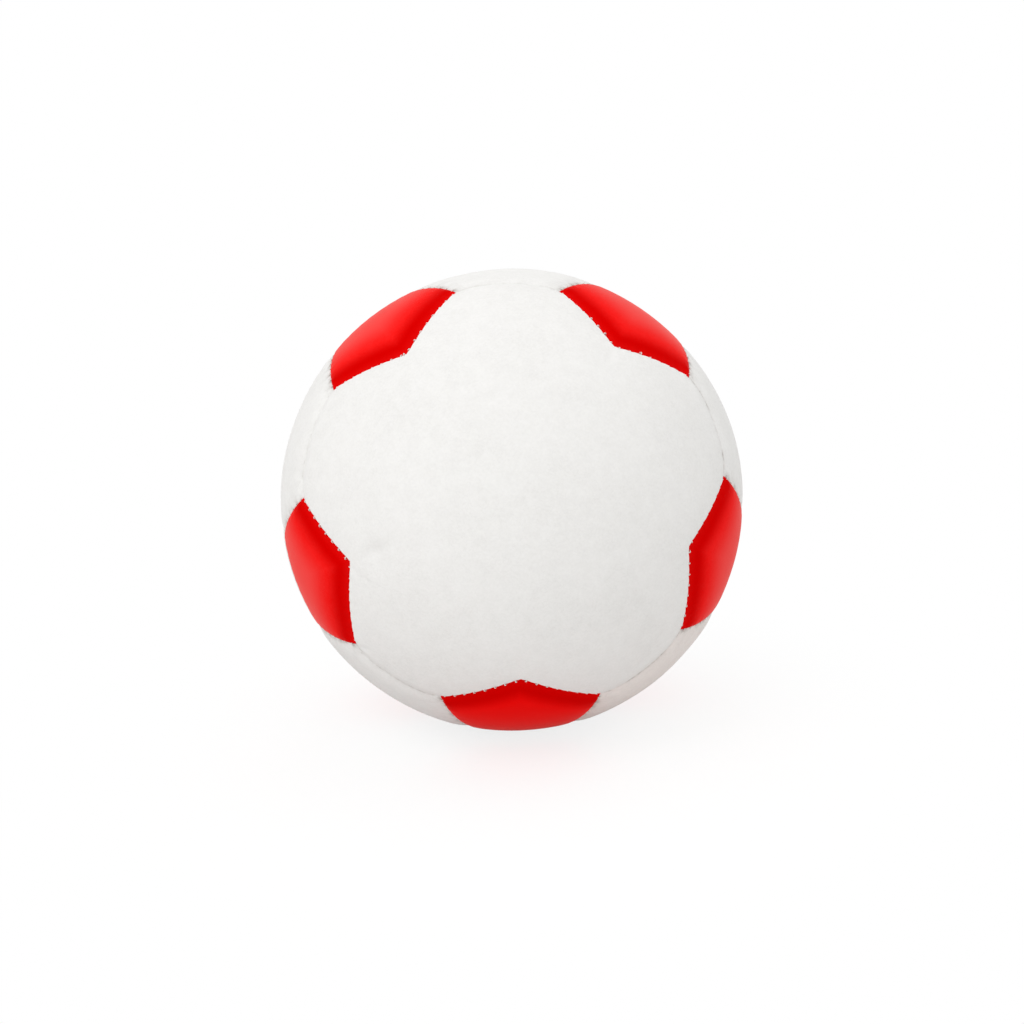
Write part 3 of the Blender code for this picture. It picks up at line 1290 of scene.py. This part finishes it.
@dataclass(frozen=True)
class SeamPlan:
    """The icosahedron that the seams are cut from, turned as the ball rests, on a white hexagon.

    Its corners are numbered from the front: 0, the ring behind it 1 to 5, the next ring 6 to 10, and 11 at
    the back. A seam corner lies a third of the way along each edge, and sewing has moved it a little. The
    moves of the front corners are given in millimetres, away from the front and counter-clockwise round it,
    five to each red panel: before, near, after and the two far ones.
    """

    front_moves: tuple[tuple[Pair, ...], ...] = (
        ((-1.33, -0.23), (0.57, -0.29), (0.04, -0.45), (0.0, 0.0), (0.0, 0.0)),
        ((-0.56, -0.05), (0.26, 0.15), (-1.09, -0.16), (-0.4, 0.0), (-0.4, 0.0)),
        ((0.00, 0.73), (0.51, 0.56), (-0.54, -0.45), (0.0, 0.0), (0.0, 0.0)),
        ((0.61, 0.13), (0.29, -0.40), (-1.47, -0.91), (-0.5, 0.0), (0.0, 0.0)),
        ((-1.56, 1.60), (-0.62, 0.56), (0.64, 0.16), (-0.5, 0.0), (-2.4, 0.6)),
    )
    move_scale: float = 0.0196
    other_moves: float = 0.004
    seed: int = 3

    @cached_property
    def corners(self) -> Array:
        """The icosahedron's corners.

        The rings lie at atan(2) from the front and from the back. Each is counted from straight down,
        counter-clockwise as seen from the front, and the back ring starts half a step on.

        Returns:
            Directions, shape (12, 3).
        """
        pole = np.array([[0.0, -1.0, 0.0]])
        tilt = math.atan(2)
        turns = np.arange(2 * RING) / RING * math.pi
        flat = np.stack([np.sin(turns), np.zeros(2 * RING), -np.cos(turns)], axis=-1) * math.sin(tilt)
        front = flat[::2] + math.cos(tilt) * pole
        back = flat[1::2] - math.cos(tilt) * pole
        resting = front[0] + back[0] + back[-1]
        lean = np.array(Matrix.Rotation(-math.atan2(resting[1], -resting[2]), 3, "X")).T
        return np.concatenate([pole, front, back, -pole]) @ lean

    @property
    def front_pole(self) -> Array:
        """Direction of the front."""
        return self.corners[0]

    @cached_property
    def moves(self) -> Array:
        """How far sewing has moved each seam corner, by the two corners of the icosahedron beside it."""
        count = len(self.corners)
        made = np.random.default_rng(self.seed).normal(0, self.other_moves, (count, count, 3))
        for k in range(RING):
            back = 1 + RING
            beside = (1 + (k - 1) % RING, 0, 1 + (k + 1) % RING, back + k, back + (k - 1) % RING)
            for other, (away, around) in zip(beside, self.front_moves[k]):
                spot = unit(2 * self.corners[1 + k] + self.corners[other])
                turn = unit(np.cross(self.front_pole, spot))
                made[1 + k, other] = self.move_scale * (away * np.cross(turn, spot) + around * turn)
        return made

    def corner(self, own: int, other: int) -> Array:
        """The seam corner a third of the way from one corner of the icosahedron to another."""
        return unit(unit(2 * self.corners[own] + self.corners[other]) + self.moves[own, other])


@dataclass(frozen=True)
class Cover:
    """The sewn cover: its panels and its threads.

    How clearly its stitches show is given for the two notch edges of each red panel, and for single stitches
    by edge and number along it. A few lower panels have a darker copy of their finish, as painted shade.
    """

    ball: Ball
    plan: SeamPlan
    stitch_show: tuple[Pair, ...] = (
        (1.0, 0.6),
        (0.8, 0.3),
        (0.3, 0.3),
        (0.7, 0.45),
        (0.95, 0.15),
    )
    plain_show: float = 0.5
    end_show: float = 0.2
    # Darker copies of the finishes for lower panels, as painted shade.
    own_finishes: tuple[tuple[str, VinylFinish], ...] = (
        ("front_red_pentagon_1", SHADED_RED_VINYL),
        ("front_white_hexagon_1", SHADED_WHITE_VINYL),
    )
    clear_stitches: tuple[tuple[int, int, float], ...] = (
        (6, 5, 1.7),
        (6, 4, 0.8),
        (7, 1, 1.1),
        (7, 2, 1.2),
        (7, 3, 1.2),
    )
    tails: tuple[Tail, ...] = (
        Tail(edge=10, share=0.01, turn=0.5, length=0.0005, curl=0.0001, lift=0.0002),
    )
    puckers: tuple[Pucker, ...] = (
        Pucker(corner=13, turn=0.02, distance=0.0077, length=0.0034, width=0.0013, depth=0.00035),
        Pucker(corner=13, turn=-0.22, distance=0.0079, length=0.0038, width=0.0032, depth=0.0005),
        Pucker(corner=13, turn=-1.35, distance=0.0036, length=0.0022, width=0.0004, depth=0.0002),
        Pucker(corner=13, turn=-1.05, distance=0.0042, length=0.0022, width=0.0004, depth=0.0002),
        Pucker(corner=14, turn=-0.58, distance=0.0028, length=0.0018, width=0.0004, depth=0.0003),
        Pucker(corner=1, turn=0.3, distance=0.004, length=0.0022, width=0.0009, depth=0.0002),
        Pucker(corner=4, turn=-0.2, distance=0.004, length=0.0022, width=0.0009, depth=0.0002),
        Pucker(corner=7, turn=0.1, distance=0.004, length=0.0024, width=0.0009, depth=0.0002),
        Pucker(corner=10, turn=0.0, distance=0.004, length=0.0024, width=0.001, depth=0.0002),
    )

    def panel(self, name: str, kind: PanelKind, pairs: list[tuple[int, int]]) -> Panel:
        """A panel from its corners, put in order counter-clockwise as seen from outside.

        Args:
            name: The panel's node in the frame.
            kind: Its cut.
            pairs: For each corner, the two corners of the icosahedron beside it.

        Returns:
            The panel.
        """
        ordered = np.array([self.plan.corner(*pair) for pair in pairs])
        centre = unit(ordered.sum(axis=0))
        if np.dot(np.cross(ordered[0], ordered[1]), centre) < 0:
            ordered = ordered[::-1].copy()
        puckers = self.puckers if kind is PanelKind.LARGE else ()
        return Panel(name, kind, ordered, centre, self.ball, puckers)

    def panels(self) -> list[Panel]:
        """Every panel of the cover.

        Returns:
            The panels, each named as its node in the frame.
        """
        made = []
        front = 1 + np.arange(RING)
        back = front + RING
        sides = (("front", 0, front, back), ("back", 1 + 2 * RING, back, np.roll(front, -1)))
        for side, pole, near, far in sides:
            outline = []
            for k in range(RING):
                own, before, after = near[k], near[k - 1], near[(k + 1) % RING]
                outline += [(own, before), (own, pole), (own, after)]
                pairs = [(own, other) for other in (pole, after, far[k], far[k - 1], before)]
                made.append(self.panel(f"{side}_red_pentagon_{k + 1}", PanelKind.PENTAGON, pairs))
            made.append(self.panel(f"{side}_large_panel", PanelKind.LARGE, outline))
        for k in range(RING):
            triples = (
                ("front", front[k], front[(k + 1) % RING], back[k]),
                ("back", back[k - 1], back[k], front[k]),
            )
            for side, a, b, c in triples:
                pairs = [(a, b), (b, a), (b, c), (c, b), (c, a), (a, c)]
                made.append(self.panel(f"{side}_white_hexagon_{k + 1}", PanelKind.HEXAGON, pairs))
        return made

    def clearness(self) -> Array:
        """How clearly each stitch round a large panel shows, shape (stitches, edges)."""
        show = np.array([value for pair in self.stitch_show for value in (*pair, self.plain_show)])
        show = np.repeat(show[None, :], self.ball.stitches, axis=0)
        show[0, 0::3] *= self.end_show
        show[-1, 1::3] *= self.end_show
        for edge, stitch, clear in self.clear_stitches:
            show[stitch, edge] = clear
        return show

    def threads(self, panels: dict[str, Panel]) -> list[SeamThread]:
        """Every thread of the cover.

        Args:
            panels: The panels by name.

        Returns:
            The threads, each named as its node in the frame.
        """
        made = []
        for side in ("front", "back"):
            large = panels[f"{side}_large_panel"]
            tails = self.tails if side == "front" else ()
            name = f"{side}_panel_seam_thread"
            show = self.clearness()
            made.append(SeamThread(name, large.seams, True, self.ball, len(made), show, tails))
            for k in range(1, RING + 1):
                corners = panels[f"{side}_red_pentagon_{k}"].corners
                near = int(np.argmax(corners @ large.centre))
                run = np.roll(corners, -near, axis=0)[1:]
                made.append(self.open_thread(f"{side}_pentagon_{k}_seam_thread", run, len(made)))
        for n in range(2 * RING):
            ends = (1 + (n + 1) // 2 % RING, 1 + RING + n // 2)
            name = "closing_seam_thread" if n == 2 * RING - 1 else f"belt_seam_thread_{n + 1}"
            run = np.array([self.plan.corner(*ends), self.plan.corner(*ends[::-1])])
            made.append(self.open_thread(name, run, len(made)))
        return made

    def open_thread(self, name: str, corners: Array, seed: int) -> SeamThread:
        """A thread along the seams between these corners, from the first to the last."""
        seams = Seams(corners[:-1], corners[1:], self.ball)
        return SeamThread(name, seams, False, self.ball, seed, np.ones(len(seams.start)))

    def build(self) -> None:
        """Builds and dresses the stuffing, the panels and the threads."""
        own = dict(self.own_finishes)
        materials = {finish: finish.material() for finish in (WHITE_VINYL, RED_VINYL, *own.values())}
        cotton = WHITE_THREAD.material()
        panels = self.panels()
        Stuffing(panels, self.ball).build(FIBRE.material())
        for panel in panels:
            slot = "red_vinyl" if panel.is_red else "white_vinyl"
            finish = own.get(panel.name, RED_VINYL if panel.is_red else WHITE_VINYL)
            skin = panel.piece().build(materials[finish], slot)
            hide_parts(panel.name)
            width, area = panel.flat_size()
        for thread in self.threads({panel.name: panel for panel in panels}):
            sewn = thread.piece().build(cotton, "white_thread")
            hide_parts(thread.name)


@dataclass(frozen=True)
class Camera:
    """The camera: close in front of the ball, a little above its middle."""

    distance_in_radii: float = 5.2
    elevation: float = math.radians(10.25)
    azimuth: float = math.radians(-1.36)
    roll: float = math.radians(-1.8)
    image_pixels: float = 1024.0
    image_radius_pixels: float = 231.2
    image_shift_pixels: Pair = (0.4, -12.3)
    sensor: float = 36.0
    clip: Pair = (0.01, 100.0)

    def build(self, ball: Ball) -> None:
        """Makes the camera.

        A ball of radius R at distance D shows as a circle of radius f / sqrt((D / R)^2 - 1), which gives the
        focal length f.

        Args:
            ball: The ball to look at.
        """
        data = bpy.data.cameras.new("camera")
        focal_pixels = self.image_radius_pixels * math.sqrt(self.distance_in_radii**2 - 1)
        data.sensor_width = self.sensor
        data.lens = focal_pixels * self.sensor / self.image_pixels
        data.shift_x, data.shift_y = (shift / self.image_pixels for shift in self.image_shift_pixels)
        data.clip_start, data.clip_end = self.clip
        made = put_in_scene("camera", data)
        flat = math.cos(self.elevation)
        side, ahead = flat * math.sin(self.azimuth), -flat * math.cos(self.azimuth)
        back = Vector((side, ahead, math.sin(self.elevation)))
        made.location = Vector(ball.middle) + back * self.distance_in_radii * ball.radius
        aim = (-back).to_track_quat("-Z", "Y").to_matrix() @ Matrix.Rotation(self.roll, 3, "Z")
        made.rotation_euler = aim.to_euler()
        bpy.context.scene.camera = made


@dataclass(frozen=True)
class Lamp:
    """A soft square lamp that faces the ball."""

    name: str
    place: Triple
    width: float
    watts: float

    def build(self, target: Array) -> None:
        """Makes the lamp, turned to the target."""
        data = bpy.data.lights.new(self.name, "AREA")
        data.size = self.width
        data.energy = self.watts
        made = put_in_scene(self.name, data)
        made.location = self.place
        made.rotation_euler = (Vector(target) - Vector(self.place)).to_track_quat("-Z", "Y").to_euler()


@dataclass(frozen=True)
class Studio:
    """A white sweep: a pale floor that fades into a white background, and soft lamps."""

    floor_radius: float = 3.0
    floor_points: int = 96
    floor_colour: Colour = rgba(0.79, 0.79, 0.785)
    floor_lift: float = 0.28
    floor_pale: float = 0.72
    fade_start: float = 0.03
    fade_end: float = 0.11
    surround: float = 0.7
    lamps: tuple[Lamp, ...] = (
        Lamp("key_lamp", place=(-0.45, -0.55, 0.75), width=0.5, watts=2.5),
        Lamp("top_lamp", place=(0.1, 0.3, 0.9), width=0.6, watts=0.45),
        Lamp("side_lamp", place=(0.7, 0.1, 0.6), width=0.6, watts=0.65),
        Lamp("front_lamp", place=(-0.1, -0.85, 0.35), width=0.5, watts=0.46),
    )

    def floor_material(self) -> bpy.types.Material:
        """The floor's finish.

        Near the ball it takes light and shadow, which the camera sees paler. Further out it turns into the
        plain white of the background.

        Returns:
            The material.
        """
        made = bpy.data.materials.new("floor_finish")
        graph = ShaderGraph(made)
        away = graph.add("ShaderNodeVectorMath", {"operation": "LENGTH"}, {0: graph.place()}, "Value")
        seen = graph.shown()
        straight = graph.add("ShaderNodeLightPath", {}, {}, "Is Camera Ray")
        matt = graph.add("ShaderNodeBsdfDiffuse", {}, {"Color": self.floor_colour})
        lift = graph.add("ShaderNodeEmission", {}, {"Strength": straight * self.floor_lift})
        lifted = graph.add("ShaderNodeAddShader", {}, {0: matt, 1: lift})
        white = graph.add("ShaderNodeEmission", {}, {"Strength": 1.0})
        far = away.fade(self.fade_start, self.fade_end)
        share = seen * far + straight * self.floor_pale * (1 - far)
        blend = graph.add("ShaderNodeMixShader", {}, {0: share, 1: lifted, 2: white})
        graph.add("ShaderNodeOutputMaterial", {}, {"Surface": blend})
        return made

    def build(self, ball: Ball) -> None:
        """Makes the floor, the surround and the lamps.

        Args:
            ball: The ball to light.
        """
        turn = np.arange(self.floor_points) / self.floor_points * math.tau
        rim = np.stack([np.cos(turn), np.sin(turn), np.zeros_like(turn)], axis=-1) * self.floor_radius
        mesh = bpy.data.meshes.new("floor")
        mesh.from_pydata(rim.tolist(), [], [list(range(self.floor_points))])
        mesh.materials.append(self.floor_material())
        floor = put_in_scene("floor", mesh)
        floor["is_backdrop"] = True
        world = bpy.data.worlds.new("surround")
        bpy.context.scene.world = world
        graph = ShaderGraph(world)
        strength = self.surround + graph.shown() * (1 - self.surround)
        light = graph.add("ShaderNodeBackground", {}, {"Color": rgba(1.0, 1.0, 1.0), "Strength": strength})
        graph.add("ShaderNodeOutputWorld", {}, {"Surface": light})
        for lamp in self.lamps:
            lamp.build(ball.middle)
        bpy.context.scene.view_settings.view_transform = "Standard"


def main() -> None:
    """Dresses the ball and sets up the studio."""
    logging.basicConfig(level=logging.INFO, format="%(message)s")
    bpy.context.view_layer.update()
    plan = SeamPlan()
    ball = Ball.from_frame(plan.front_pole)
    Camera().build(ball)
    Studio().build(ball)
    Cover(ball, plan).build()


if __name__ == "__main__":
    main()
